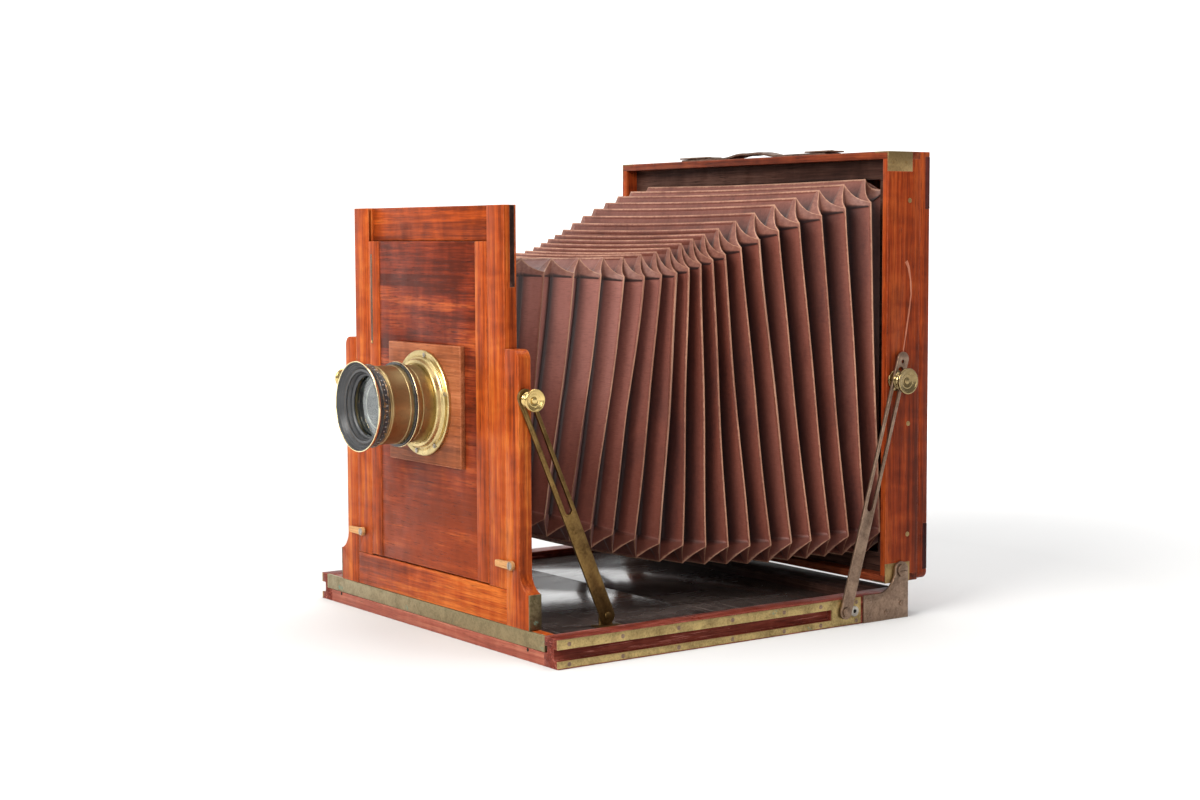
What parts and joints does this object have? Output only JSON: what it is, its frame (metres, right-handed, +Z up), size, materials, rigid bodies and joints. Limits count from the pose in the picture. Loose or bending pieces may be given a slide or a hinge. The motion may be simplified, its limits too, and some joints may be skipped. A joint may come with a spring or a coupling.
{
  "type": "view camera",
  "caption": "Wooden field view camera with a tapered pleated bellows, a rising lens panel, a brass lens, slotted brass struts, a sliding front board and a hinged focusing screen.",
  "frame": {"origin": "centre of the tripod bush, on the underside of the bed", "axes": "+X across the camera, to the right when facing the lens side from the front; +Y from the lens to the focusing screen; +Z up"},
  "size_m": [0.3932, 0.4401, 0.3857],
  "materials": {
    "mahogany": "french polish, worn",
    "dark_mahogany": "french polish",
    "ebonised_wood": "gloss black",
    "rosewood": "satin",
    "lens_board_wood": "worn stain",
    "boxwood": "satin",
    "brass": "aged lacquer",
    "bronzed_brass": "dark patina",
    "steel_screw": "worn",
    "black_lacquer": "worn black lacquer on brass",
    "lens_glass": "polished",
    "ground_glass": "frosted",
    "leathercloth": "matt, tan at the fold edges",
    "strap_leather": "cracked"
  },
  "bodies": {
    "bed": {"side_rail_right": "mahogany", "side_rail_left": "mahogany", "side_plates": "brass", "lower_cross_rails": "mahogany", "rear_cross_rail": "mahogany", "rear_floor_board": "ebonised_wood", "rear_brackets": "bronzed_brass", "tripod_bush": "brass", "bed_fasteners": "brass"},
    "focus_slide": {"sliding_board": "ebonised_wood", "slide_batten": "mahogany", "front_strip": "brass", "front_strut_feet": "bronzed_brass", "standard_hinges": "bronzed_brass"},
    "front_standard": {"standard_base": "mahogany", "standard_legs": "mahogany", "foot_plates": "brass", "standard_hinge_leaves": "bronzed_brass", "front_studs": "brass"},
    "front_strut_right": {"front_strut_right": "brass"},
    "front_strut_left": {"front_strut_left": "brass"},
    "front_nut_right": {"front_nut_right": "brass"},
    "front_nut_left": {"front_nut_left": "brass"},
    "rising_frame": {"frame_stiles": "mahogany", "frame_rails": "mahogany", "bellows_front_frame": "ebonised_wood"},
    "turn_button_left": {"turn_button_left": "boxwood"},
    "turn_button_right": {"turn_button_right": "boxwood"},
    "lens_panel": {"lens_panel": "dark_mahogany", "panel_cleats": "mahogany", "lens_board": "lens_board_wood", "lens_flange": "brass", "flange_screws": "steel_screw", "lens_barrel": "brass", "barrel_ring": "black_lacquer", "lens_hood": "black_lacquer", "front_element": "lens_glass", "rear_element": "lens_glass"},
    "iris_ring": {"iris_ring": "black_lacquer"},
    "rear_box": {"box_top": "mahogany", "box_bottom": "mahogany", "box_sides": "mahogany", "box_corner_plates": "brass", "box_pivot_screws": "bronzed_brass", "rear_studs": "bronzed_brass", "bellows_rear_frame": "ebonised_wood", "bellows": "leathercloth", "handle_strap": "strap_leather", "handle_plates": "bronzed_brass", "back_frame": "mahogany", "back_strips": "rosewood", "screen_hinges": "brass"},
    "rear_strut_right": {"rear_strut_right": "bronzed_brass"},
    "rear_strut_left": {"rear_strut_left": "bronzed_brass"},
    "rear_nut_right": {"rear_nut_right": "bronzed_brass"},
    "rear_nut_left": {"rear_nut_left": "bronzed_brass"},
    "screen": {"screen_frame": "mahogany", "ground_glass": "ground_glass", "screen_hinge_leaves": "brass"},
    "screen_catch": {"screen_catch": "brass"}
  },
  "joints": [
    {"name": "focus_slide", "type": "slide", "parent": "bed", "child": "focus_slide", "axis": [0, -1, 0], "range_m": [0, 0.09], "deforming": ["bellows"]},
    {"name": "front_tilt", "type": "hinge", "parent": "focus_slide", "child": "front_standard", "pos_m": [0, -0.1587, 0.0185], "axis": [-1, 0, 0], "range_deg": [0, 10], "deforming": ["bellows"]},
    {"name": "front_strut_right_pivot", "type": "hinge", "parent": "focus_slide", "child": "front_strut_right", "pos_m": [0.1346, -0.094, 0.024], "axis": [-1, 0, 0], "range_deg": [0, 9.1]},
    {"name": "front_strut_left_pivot", "type": "hinge", "parent": "focus_slide", "child": "front_strut_left", "pos_m": [-0.1346, -0.094, 0.024], "axis": [-1, 0, 0], "range_deg": [0, 9.1]},
    {"name": "front_nut_right_turn", "type": "hinge", "parent": "front_standard", "child": "front_nut_right", "pos_m": [0.142, -0.1666, 0.193], "axis": [1, 0, 0], "range_deg": [0, 360]},
    {"name": "front_nut_left_turn", "type": "hinge", "parent": "front_standard", "child": "front_nut_left", "pos_m": [-0.142, -0.1666, 0.193], "axis": [-1, 0, 0], "range_deg": [0, 360]},
    {"name": "frame_rise", "type": "slide", "parent": "front_standard", "child": "rising_frame", "axis": [0, 0, 1], "range_m": [0, 0.06], "deforming": ["bellows"]},
    {"name": "panel_rise", "type": "slide", "parent": "rising_frame", "child": "lens_panel", "axis": [0, 0, 1], "range_m": [0, 0.025]},
    {"name": "iris_ring_turn", "type": "hinge", "parent": "lens_panel", "child": "iris_ring", "pos_m": [0.0025, -0.227, 0.1825], "axis": [0, 1, 0], "range_deg": [0, 90]},
    {"name": "turn_button_left_pivot", "type": "hinge", "parent": "rising_frame", "child": "turn_button_left", "pos_m": [-0.106, -0.1736, 0.0674], "axis": [0, 1, 0], "continuous": true},
    {"name": "turn_button_right_pivot", "type": "hinge", "parent": "front_standard", "child": "turn_button_right", "pos_m": [0.1237, -0.1736, 0.0687], "axis": [0, 1, 0], "continuous": true},
    {"name": "rear_tilt", "type": "hinge", "parent": "bed", "child": "rear_box", "pos_m": [0, 0.1668, 0.0393], "axis": [1, 0, 0], "range_deg": [-8, 8], "deforming": ["bellows"]},
    {"name": "rear_strut_right_pivot", "type": "hinge", "parent": "bed", "child": "rear_strut_right", "pos_m": [0.184, 0.1052, 0.0114], "axis": [1, 0, 0], "range_deg": [-6.15, 6.15]},
    {"name": "rear_strut_left_pivot", "type": "hinge", "parent": "bed", "child": "rear_strut_left", "pos_m": [-0.184, 0.1052, 0.0114], "axis": [1, 0, 0], "range_deg": [-6.15, 6.15]},
    {"name": "rear_nut_right_turn", "type": "hinge", "parent": "rear_box", "child": "rear_nut_right", "pos_m": [0.191, 0.1605, 0.195], "axis": [1, 0, 0], "range_deg": [0, 360]},
    {"name": "rear_nut_left_turn", "type": "hinge", "parent": "rear_box", "child": "rear_nut_left", "pos_m": [-0.191, 0.1605, 0.195], "axis": [-1, 0, 0], "range_deg": [0, 360]},
    {"name": "screen_hinge", "type": "hinge", "parent": "rear_box", "child": "screen", "pos_m": [-0.157, 0.2023, 0.2043], "axis": [0, 0, 1], "range_deg": [0, 170]},
    {"name": "screen_catch_pivot", "type": "hinge", "parent": "rear_box", "child": "screen_catch", "pos_m": [0.167, 0.201, 0.2043], "axis": [0, -1, 0], "range_deg": [0, 90]}
  ],
  "couplings": [
    {"joint": "front_strut_right_pivot", "follows": "front_tilt", "ratio": 0.909},
    {"joint": "front_strut_left_pivot", "follows": "front_tilt", "ratio": 0.909},
    {"joint": "rear_strut_right_pivot", "follows": "rear_tilt", "ratio": 0.7685},
    {"joint": "rear_strut_left_pivot", "follows": "rear_tilt", "ratio": 0.7685}
  ]
}
